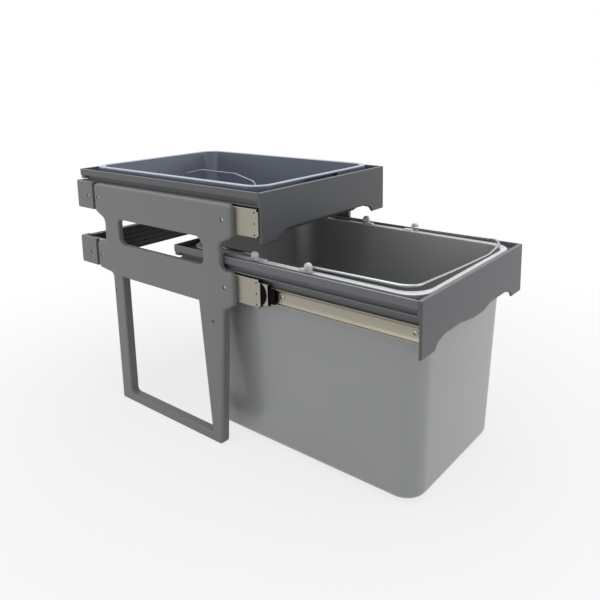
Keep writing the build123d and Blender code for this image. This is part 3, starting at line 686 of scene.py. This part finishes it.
def rolled_member(box, sizes):
    """Inner slide member in this box: a flat web between two beads, rolled over the balls."""
    low, high = box
    side = 1.0 if low.x + high.x > 0 else -1.0
    back = low.x if side > 0 else high.x
    sheet, bead, depth = sizes.slide_sheet, sizes.slide_bead, high.x - low.x
    half = [(0.0, 0.0), (depth, 0.0), (depth, sheet)]
    half += [(across * depth, up * bead) for across, up in BEAD_SLOPE]
    half.append((sheet, bead))
    points = [(across, low.z + up) for across, up in half]
    points += [(across, high.z - up) for across, up in reversed(half)]
    mesh = bmesh.new()
    corners = [mesh.verts.new((back + side * across, low.y, z)) for across, z in points]
    mesh.faces.new(corners)
    rounded(mesh, [corners[0], corners[-1]], sizes.slide_bend, segments=4, affect="VERTICES")
    inner = [v for v in mesh.verts if abs(v.co.x - back) > 0.9 * sheet]
    rounded(mesh, inner, 0.3 * sheet, segments=2, affect="VERTICES")
    far = extruded_faces(mesh, list(mesh.faces))
    bmesh.ops.translate(mesh, verts=far, vec=(0, high.y - low.y, 0))
    return mesh


class WASTE_OT_drawer_frames(bpy.types.Operator):
    """Finish the front panels and the rails of both drawers."""

    bl_idname = "waste_unit.drawer_frames"
    bl_label = "Drawer frames"
    bl_options = {"REGISTER", "UNDO"}

    def execute(self, context):
        colours = context.scene.waste_unit_colours
        for level in LEVELS:
            panel, rail = f"{level}_front_panel", f"left_{level}_side_rail"
            frame_colour = getattr(colours, f"{level}_frame")
            # The upper rails' colour holds painted shade: it is darker than the lower rails' same
            # coat.
            rail_colour = getattr(colours, f"{level}_rail")
            # Both coats get a painted highlight along the top edges of their panel and rails.
            dress(powder_coat(f"{level}_panel_coat_and_highlight", frame_colour, panel, highlight_tone=1.5), panel)
            dress(powder_coat(f"{level}_rail_finish", rail_colour, rail, highlight_tone=2.4),
                  *both(f"{level}_side_rail"), f"{level}_rear_rail")
        return {"FINISHED"}


DOME_POWER = 1.5  # how a screw's head falls away towards its edge
RECESS_TAPER = 0.72  # width of a recess at its floor, as a share of its mouth


def cross_head_screw(mesh, box, sizes):
    """Pan head screw with a cross recess, lying along X in this box with its head outwards."""
    low, high = box
    outward = 1.0 if low.x + high.x > 0 else -1.0
    middle = (low + high) / 2
    head_x = high.x if outward > 0 else low.x
    turn = Matrix.Rotation(math.radians(90 * outward), 4, "Y")
    place = Matrix.Translation((head_x, middle.y, middle.z)) @ turn
    made = bmesh.new()
    bmesh.ops.create_circle(made, cap_ends=True, radius=sizes.head_radius, segments=32)
    half_arm, half_cross = sizes.recess_width / 2, sizes.recess_length / 2
    for axis in (Vector((1, 0, 0)), Vector((0, 1, 0))):
        for reach in (-half_cross, -half_arm, half_arm, half_cross):
            geom = made.verts[:] + made.edges[:] + made.faces[:]
            bmesh.ops.bisect_plane(made, geom=geom, plane_co=axis * reach, plane_no=axis)
    arms = []
    for face in made.faces:
        spot = face.calc_center_median()
        across, along = sorted((abs(spot.x), abs(spot.y)))
        if across < half_arm and along < half_cross:
            arms.append(face)
    for vert in made.verts:
        share = min(1.0, (vert.co.x**2 + vert.co.y**2) / sizes.head_radius**2)
        vert.co.z = -(sizes.head_height - sizes.head_edge) * share**DOME_POWER
    recess_floor = extruded_faces(made, arms)
    bmesh.ops.delete(made, geom=arms, context="FACES")
    bmesh.ops.translate(made, verts=recess_floor, vec=(0, 0, -sizes.recess_depth))
    bmesh.ops.scale(made, verts=recess_floor, vec=(RECESS_TAPER, RECESS_TAPER, 1.0))
    verts, edges = extruded_edges(made, [e for e in made.edges if e.is_boundary])
    for vert in verts:
        vert.co.z = -sizes.head_height
    verts, edges = extruded_edges(made, edges)
    shrink = sizes.shank_radius / sizes.head_radius
    bmesh.ops.scale(made, verts=verts, vec=(shrink, shrink, 1.0))
    verts, edges = extruded_edges(made, edges)
    for vert in verts:
        vert.co.z = -(high.x - low.x)
    bmesh.ops.holes_fill(made, edges=edges, sides=0)
    bmesh.ops.transform(made, matrix=place, verts=made.verts)
    add_to(mesh, made)


def add_to(mesh, part):
    """Adds one bmesh to another and frees it."""
    data = bpy.data.meshes.new("part")
    part.to_mesh(data)
    part.free()
    mesh.from_mesh(data)
    bpy.data.meshes.remove(data)


class WASTE_OT_screws(bpy.types.Operator):
    """Model the cross recess pan head screws."""

    bl_idname = "waste_unit.screws"
    bl_label = "Screws"
    bl_options = {"REGISTER", "UNDO"}

    def execute(self, context):
        colours, sizes = settings(context)
        steel = bright_steel(colours)
        rows = [("bracket_screws", "root"), ("rear_cap_screws", "root")]
        rows += [(f"{level}_rail_screws", f"{level}_drawer") for level in LEVELS]
        for node, body in rows:
            mesh = bmesh.new()
            for box in solids_of(node):
                cross_head_screw(mesh, box, sizes)
            finished_piece(mesh, f"{node}_pan_head", steel, body, "screw_steel", node)
        return {"FINISHED"}


class WASTE_OT_tray(bpy.types.Operator):
    """Model the tray: rolled rim, skirt with a finger grip, walls, floor and bosses."""

    bl_idname = "waste_unit.tray"
    bl_label = "Tray"
    bl_options = {"REGISTER", "UNDO"}

    def execute(self, context):
        colours, sizes = settings(context)
        low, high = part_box("tray")
        rim = Outline(high.x, low.y, high.y, high.z, sizes.tray_corner)
        mouth = rim.moved_in(sizes.tray_side_rim, sizes.tray_rim, sizes.tray_rear_rim, high.z,
                             sizes.tray_corner - sizes.tray_rim)
        floor = mouth.moved_in(sizes.tray_taper, sizes.tray_front_taper, sizes.tray_taper, low.z,
                               sizes.tray_floor_corner)
        rim_width = sizes.tray_side_rim + sizes.tray_wall
        profile = rolled_rim(rim_width, sizes.rim_roll, sizes.mouth_roll)
        mesh = bmesh.new()
        container(mesh, rim, mouth, floor, sizes.tray_wall, sizes.rim_wall, sizes.tray_skirt,
                  profile, sizes.tray_fold)
        cut_grip(mesh, low.y, high.z, sizes)
        add_bosses(mesh, low.z + sizes.tray_wall, sizes)
        plastic = tray_plastic(colours)
        finished_piece(mesh, "tray_moulding", plastic, "tray", "tray_plastic", "tray")
        return {"FINISHED"}


def cut_grip(mesh, front, top, sizes):
    """Opens the front skirt for the fingers, and closes the cut's sides and top."""
    half, grip_z = sizes.grip_width / 2, top - sizes.grip_top
    skin_depth = front + 1.01 * sizes.rim_wall  # just past the skirt's inner face
    skirt_top = top - sizes.rim_wall / 2
    flat = [f for f in mesh.faces if abs(f.calc_center_median().x) < MM
            and all(v.co.y < skin_depth and v.co.z < skirt_top for v in f.verts)]
    sideways, upwards = (1, 0, 0), (0, 0, 1)
    for place, across in (((-half, 0, 0), sideways), ((half, 0, 0), sideways),
                          ((0, 0, grip_z), upwards)):
        geom = {*flat, *(e for f in flat for e in f.edges), *(v for f in flat for v in f.verts)}
        cut = bmesh.ops.bisect_plane(mesh, geom=list(geom), plane_co=place, plane_no=across)
        flat = picked(cut["geom"], bmesh.types.BMFace)
    spots = [(f, f.calc_center_median()) for f in flat]
    inside = [f for f, spot in spots if abs(spot.x) < half and spot.z < grip_z]
    bmesh.ops.delete(mesh, geom=inside, context="FACES")
    edges = [e for e in mesh.edges if e.is_boundary and not is_along(e, "y")]
    bmesh.ops.bridge_loops(mesh, edges=edges)


def is_along(edge, axis):
    """Whether an edge runs along this axis."""
    a, b = (v.co for v in edge.verts)
    return abs(getattr(a - b, axis)) > 0.9 * (a - b).length


BOSS_TAPER = 0.9  # top radius of a boss, as a share of its foot
BOSS_ROUNDING = 0.2  # of its radius


def add_bosses(mesh, floor_z, sizes):
    """Two round bosses on the tray's floor, where the handle's ends stand."""
    low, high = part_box("tray_handle")
    inset = (high.x - low.x) / 2
    for y in (low.y + inset, high.y - inset):
        place = Matrix.Translation((0, y, floor_z + sizes.boss_height / 2))
        made = bmesh.ops.create_cone(mesh, cap_ends=True, segments=40, radius1=sizes.boss_radius,
                                     radius2=BOSS_TAPER * sizes.boss_radius,
                                     depth=sizes.boss_height, matrix=place)
        top = max(v.co.z for v in made["verts"])
        edges = {e for v in made["verts"] for e in v.link_edges
                 if all(top - w.co.z < MERGE_DISTANCE for w in e.verts)}
        rounded(mesh, list(edges), BOSS_ROUNDING * sizes.boss_radius, segments=3, affect="EDGES")


class WASTE_OT_tray_handle(bpy.types.Operator):
    """Finish the tray's wire handle."""

    bl_idname = "waste_unit.tray_handle"
    bl_label = "Tray handle"
    bl_options = {"REGISTER", "UNDO"}

    def execute(self, context):
        colours = context.scene.waste_unit_colours
        dress(plated_wire("handle_wire_finish", colours.handle, roughness=0.34), "tray_handle")
        return {"FINISHED"}


class WASTE_OT_waste_bin(bpy.types.Operator):
    """Model the bin: rolled and grooved rim, skirt, tapered walls and floor."""

    bl_idname = "waste_unit.waste_bin"
    bl_label = "Bin"
    bl_options = {"REGISTER", "UNDO"}

    def execute(self, context):
        colours, sizes = settings(context)
        low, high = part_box("waste_bin")
        rim = Outline(high.x, low.y, high.y, high.z, sizes.bin_corner)
        mouth = rim.moved_in(sizes.bin_rim, sizes.bin_front_rim, sizes.bin_rear_rim, high.z,
                             sizes.bin_mouth_corner)
        floor = mouth.moved_in(sizes.bin_taper, sizes.bin_front_taper, sizes.bin_taper, low.z,
                               sizes.bin_floor_corner)
        rim_width = sizes.bin_rim + sizes.bin_wall
        profile = rolled_rim(rim_width, sizes.rim_roll, sizes.mouth_roll, sizes.bin_groove)
        mesh = bmesh.new()
        container(mesh, rim, mouth, floor, sizes.bin_wall, sizes.rim_wall, sizes.bin_skirt,
                  profile, sizes.bin_fold)
        plastic = bin_plastic(colours)
        finished_piece(mesh, "bin_moulding", plastic, "bin", "bin_plastic", "waste_bin")
        return {"FINISHED"}


class WASTE_OT_liner_hoops(bpy.types.Operator):
    """Finish the two liner hoops."""

    bl_idname = "waste_unit.liner_hoops"
    bl_label = "Liner hoops"
    bl_options = {"REGISTER", "UNDO"}

    def execute(self, context):
        colours = context.scene.waste_unit_colours
        wire = plated_wire("hoop_wire_finish", colours.wire, roughness=0.20)
        dress(wire, "front_liner_hoop", "rear_liner_hoop")
        return {"FINISHED"}


class WASTE_OT_hoop_clips(bpy.types.Operator):
    """Model the liner hoops' clips: a domed upright with a hole, and a leaf shaped foot."""

    bl_idname = "waste_unit.hoop_clips"
    bl_label = "Hoop clips"
    bl_options = {"REGISTER", "UNDO"}

    def execute(self, context):
        colours, sizes = settings(context)
        plastic = clip_plastic(colours)
        for place in ("front", "rear"):
            mesh = bmesh.new()
            node = f"{place}_hoop_clips"
            for box in solids_of(node):
                hoop_clip(mesh, box, place == "front", sizes)
            name = f"{place}_hoop_clip_domes"
            finished_piece(mesh, name, plastic, "bin", "clip_plastic", node)
        return {"FINISHED"}


CLIP_ANGLE = 1.2  # radians; a clip's edges that turn more than this are rounded
# Section of a clip's foot: how far in, as a share of half its width, and how high.
FOOT_SECTION = ((0.0, 0.0), (0.0, 0.4), (0.08, 0.7), (0.25, 0.9), (0.5, 1.0))


def hoop_clip(mesh, box, foot_behind, sizes):
    """One clip in this box, which spans its upright part and the foot beside it."""
    low, high = box
    outward = 1.0 if low.x + high.x > 0 else -1.0
    radius = high.z - low.z - CLIP_WIRE_HEIGHT - sizes.clip_rise
    middle_y = low.y + radius if foot_behind else high.y - radius
    outer_x = high.x if outward > 0 else low.x
    inner_x = low.x if outward > 0 else high.x
    hole = Vector((outer_x, middle_y, low.z + CLIP_WIRE_HEIGHT))
    clip_upright(mesh, hole, low.z, radius, -outward, sizes)
    foot = bmesh.new()
    half = sizes.clip_foot_width / 2
    ends = (middle_y, high.y) if foot_behind else (low.y, middle_y)
    base = Outline(half, *ends, low.z, 0.99 * half)
    skin(foot, [base.inset(inward * half, low.z + up * sizes.clip_foot)
                for inward, up in FOOT_SECTION], steps=8)
    bmesh.ops.translate(foot, verts=foot.verts, vec=(inner_x + outward * half, 0, 0))
    add_to(mesh, foot)


def clip_upright(mesh, hole, foot_z, radius, inward, sizes):
    """Domed upright of a clip, bored for the wire, from its outer face inwards."""
    made = bmesh.new()
    turn = Matrix.Translation(hole) @ Matrix.Rotation(math.radians(90), 4, "Y")
    bmesh.ops.create_circle(made, cap_ends=False, radius=sizes.clip_hole, segments=32,
                            matrix=turn)
    outside, _ = extruded_edges(made, list(made.edges))
    drop = hole.z + sizes.clip_rise - foot_z
    for vert in outside:
        reach = (vert.co - hole) / sizes.clip_hole
        if reach.z < 0:
            squareness = 1.0 / max(abs(reach.y), abs(reach.z))
            reach = Vector((0, reach.y * squareness, reach.z * squareness * drop / radius))
        vert.co = hole + Vector((0, radius * reach.y, radius * reach.z + sizes.clip_rise))
    far = extruded_faces(made, list(made.faces))
    bmesh.ops.translate(made, verts=far, vec=(inward * sizes.clip_thickness, 0, 0))
    bmesh.ops.recalc_face_normals(made, faces=made.faces)
    hole_reach, foot_reach = 1.5 * sizes.clip_hole, foot_z + 0.1 * MM
    edges = [e for e in made.edges if len(e.link_faces) == 2 and e.calc_face_angle() > CLIP_ANGLE
             and all((v.co - hole).yz.length > hole_reach and v.co.z > foot_reach
                     for v in e.verts)]
    rounded(made, edges, sizes.clip_edge, segments=4, affect="EDGES", clamp_overlap=True)
    add_to(mesh, made)


# ---------------------------------------------------------------- studio
CAMERA_AT = (-0.84321, -0.73581, 0.60300)
CAMERA_AZIMUTH = math.radians(-51.001)
CAMERA_ELEVATION = math.radians(10.355)
CAMERA_ROLL = math.radians(-0.915)
PICTURE_SIDE = 600
FOCAL_PIXELS = 637.53
CENTRE_PIXEL = (306.19, 192.81)
SKY_COLOUR, SKY_STRENGTH = (0.95, 0.97, 1.0, 1.0), 0.50
FLOOR_REACH, FLOOR_DROP = 6.0, 0.5 * MM
FLOOR_FADE = {"From Min": 0.3, "From Max": 1.1, "To Min": 0.78, "To Max": 1.0}
SOFT_BOXES = (  # name, place, side and power
    ("overhead", (0.0, 0.1, 2.4), 2.2, 30.0),
    ("front", (1.2, -2.4, 1.5), 1.8, 14.0),
    ("side", (-2.4, 0.4, 1.2), 1.8, 8.0),
)


def photo_camera():
    """Camera at the photograph's place, with its focal length and centre."""
    data = bpy.data.cameras.new("camera")
    data.lens = FOCAL_PIXELS / PICTURE_SIDE * data.sensor_width
    data.shift_x = 0.5 - CENTRE_PIXEL[0] / PICTURE_SIDE
    data.shift_y = CENTRE_PIXEL[1] / PICTURE_SIDE - 0.5
    data.clip_start, data.clip_end = 0.01, 100.0
    camera = new_object("camera", data)
    level = math.cos(CAMERA_ELEVATION)
    forward = Vector((-math.sin(CAMERA_AZIMUTH) * level, math.cos(CAMERA_AZIMUTH) * level,
                      -math.sin(CAMERA_ELEVATION)))
    right = forward.cross(Vector((0, 0, 1))).normalized()
    up = right.cross(forward)
    tilted_right = math.cos(CAMERA_ROLL) * right + math.sin(CAMERA_ROLL) * up
    tilted_up = tilted_right.cross(forward)
    turn = Matrix((tilted_right, tilted_up, -forward)).transposed().to_4x4()
    camera.matrix_world = Matrix.Translation(CAMERA_AT) @ turn
    bpy.context.scene.camera = camera


def seen_directly(tree):
    """1 where the camera sees a surface, also in a mirror, and 0 where it only gives light."""
    path = tree.nodes.new("ShaderNodeLightPath")
    seen = maths(tree, "MAXIMUM", path.outputs["Is Camera Ray"], path.outputs["Is Glossy Ray"])
    return maths(tree, "MAXIMUM", seen, path.outputs["Is Transmission Ray"])


def mixed_shaders(tree, fac, first, second, output):
    """Leads a mix of two shaders to this output node."""
    mix = tree.nodes.new("ShaderNodeMixShader")
    sources = (fac, first.outputs[0], second.outputs[0])
    for source, socket in zip(sources, mix.inputs):
        tree.links.new(source, socket)
    tree.links.new(mix.outputs[0], tree.nodes[output].inputs["Surface"])


def studio_world():
    """Soft even light, with a white background behind everything."""
    world = bpy.data.worlds.new("studio")
    world.use_nodes = True
    bpy.context.scene.world = world
    tree = world.node_tree
    lit = tree.nodes["Background"]
    lit.inputs["Color"].default_value = SKY_COLOUR
    lit.inputs["Strength"].default_value = SKY_STRENGTH
    white = tree.nodes.new("ShaderNodeBackground")
    white.inputs["Color"].default_value = (1.0, 1.0, 1.0, 1.0)
    white.inputs["Strength"].default_value = 1.0
    mixed_shaders(tree, seen_directly(tree), lit, white, "World Output")


def studio_floor(colours):
    """Pale floor that keeps the object's shadow, and runs out to the white background."""
    mesh = bmesh.new()
    bmesh.ops.create_grid(mesh, x_segments=1, y_segments=1, size=FLOOR_REACH)
    data = bpy.data.meshes.new("floor")
    mesh.to_mesh(data)
    mesh.free()
    floor = new_object("floor", data)
    floor.location.z = -FLOOR_DROP
    material = bpy.data.materials.new("floor_finish")
    material.use_nodes = True
    tree = material.node_tree
    shader = tree.nodes["Principled BSDF"]
    shader.inputs["Base Color"].default_value = (*colours.floor, 1.0)
    shader.inputs["Roughness"].default_value = 0.9
    white = tree.nodes.new("ShaderNodeEmission")
    whiteness = maths(tree, "MULTIPLY", seen_directly(tree), fade_out(tree))
    mixed_shaders(tree, whiteness, shader, white, "Material Output")
    data.materials.append(material)


def fade_out(tree):
    """How white the floor is at least: more with the distance from the object."""
    place = tree.nodes.new("ShaderNodeTexCoord")
    reach = tree.nodes.new("ShaderNodeVectorMath")
    reach.operation = "LENGTH"
    tree.links.new(place.outputs["Object"], reach.inputs[0])
    spread = tree.nodes.new("ShaderNodeMapRange")
    spread.interpolation_type = "SMOOTHSTEP"
    for socket, value in FLOOR_FADE.items():
        spread.inputs[socket].default_value = value
    tree.links.new(reach.outputs["Value"], spread.inputs["Value"])
    return spread.outputs["Result"]


def soft_light(name, at, target, side, power):
    """Square soft box that shines at a target."""
    data = bpy.data.lights.new(name, "AREA")
    data.size = side
    data.energy = power
    lamp = new_object(name, data)
    lamp.location = at
    lamp.rotation_euler = (Vector(target) - Vector(at)).to_track_quat("-Z", "Y").to_euler()


class WASTE_OT_studio(bpy.types.Operator):
    """Set up the floor, the soft light and the camera."""

    bl_idname = "waste_unit.studio"
    bl_label = "Studio"
    bl_options = {"REGISTER", "UNDO"}

    def execute(self, context):
        colours = context.scene.waste_unit_colours
        photo_camera()
        studio_world()
        studio_floor(colours)
        middle = (CAD_BOX[0] + CAD_BOX[1]) / 2
        for name, at, side, power in SOFT_BOXES:
            soft_light(name, at, middle, side, power)
        bpy.context.scene.view_settings.view_transform = "Standard"
        return {"FINISHED"}


# ---------------------------------------------------------------- panel and registration
OPERATORS = (
    WASTE_OT_brackets,
    WASTE_OT_rear_frame,
    WASTE_OT_slides,
    WASTE_OT_drawer_frames,
    WASTE_OT_screws,
    WASTE_OT_tray,
    WASTE_OT_tray_handle,
    WASTE_OT_waste_bin,
    WASTE_OT_liner_hoops,
    WASTE_OT_hoop_clips,
    WASTE_OT_studio,
)


class WASTE_PT_sidebar(bpy.types.Panel):
    """Lists the unit's operators, colours and sizes."""

    bl_idname = "WASTE_PT_sidebar"
    bl_label = "Waste unit"
    bl_space_type = "VIEW_3D"
    bl_region_type = "UI"
    bl_category = "Waste unit"

    def draw(self, context):
        for operator in OPERATORS:
            self.layout.operator(operator.bl_idname)
        for group in (context.scene.waste_unit_colours, context.scene.waste_unit_sizes):
            box = self.layout.box()
            for name in group.bl_rna.properties.keys():
                if name not in ("rna_type", "name"):
                    box.prop(group, name)


CLASSES = (WasteUnitColours, WasteUnitSizes, *OPERATORS, WASTE_PT_sidebar)


def register():
    """Registers the classes and the scene's colours and sizes."""
    for cls in CLASSES:
        bpy.utils.register_class(cls)
    bpy.types.Scene.waste_unit_colours = PointerProperty(type=WasteUnitColours)
    bpy.types.Scene.waste_unit_sizes = PointerProperty(type=WasteUnitSizes)


def unregister():
    """Takes them all away again."""
    del bpy.types.Scene.waste_unit_sizes
    del bpy.types.Scene.waste_unit_colours
    for cls in reversed(CLASSES):
        bpy.utils.unregister_class(cls)


def main():
    """Registers the classes and makes everything in order."""
    register()
    for operator in OPERATORS:
        area, name = operator.bl_idname.split(".")
        getattr(getattr(bpy.ops, area), name)()


if __name__ == "__main__":
    main()
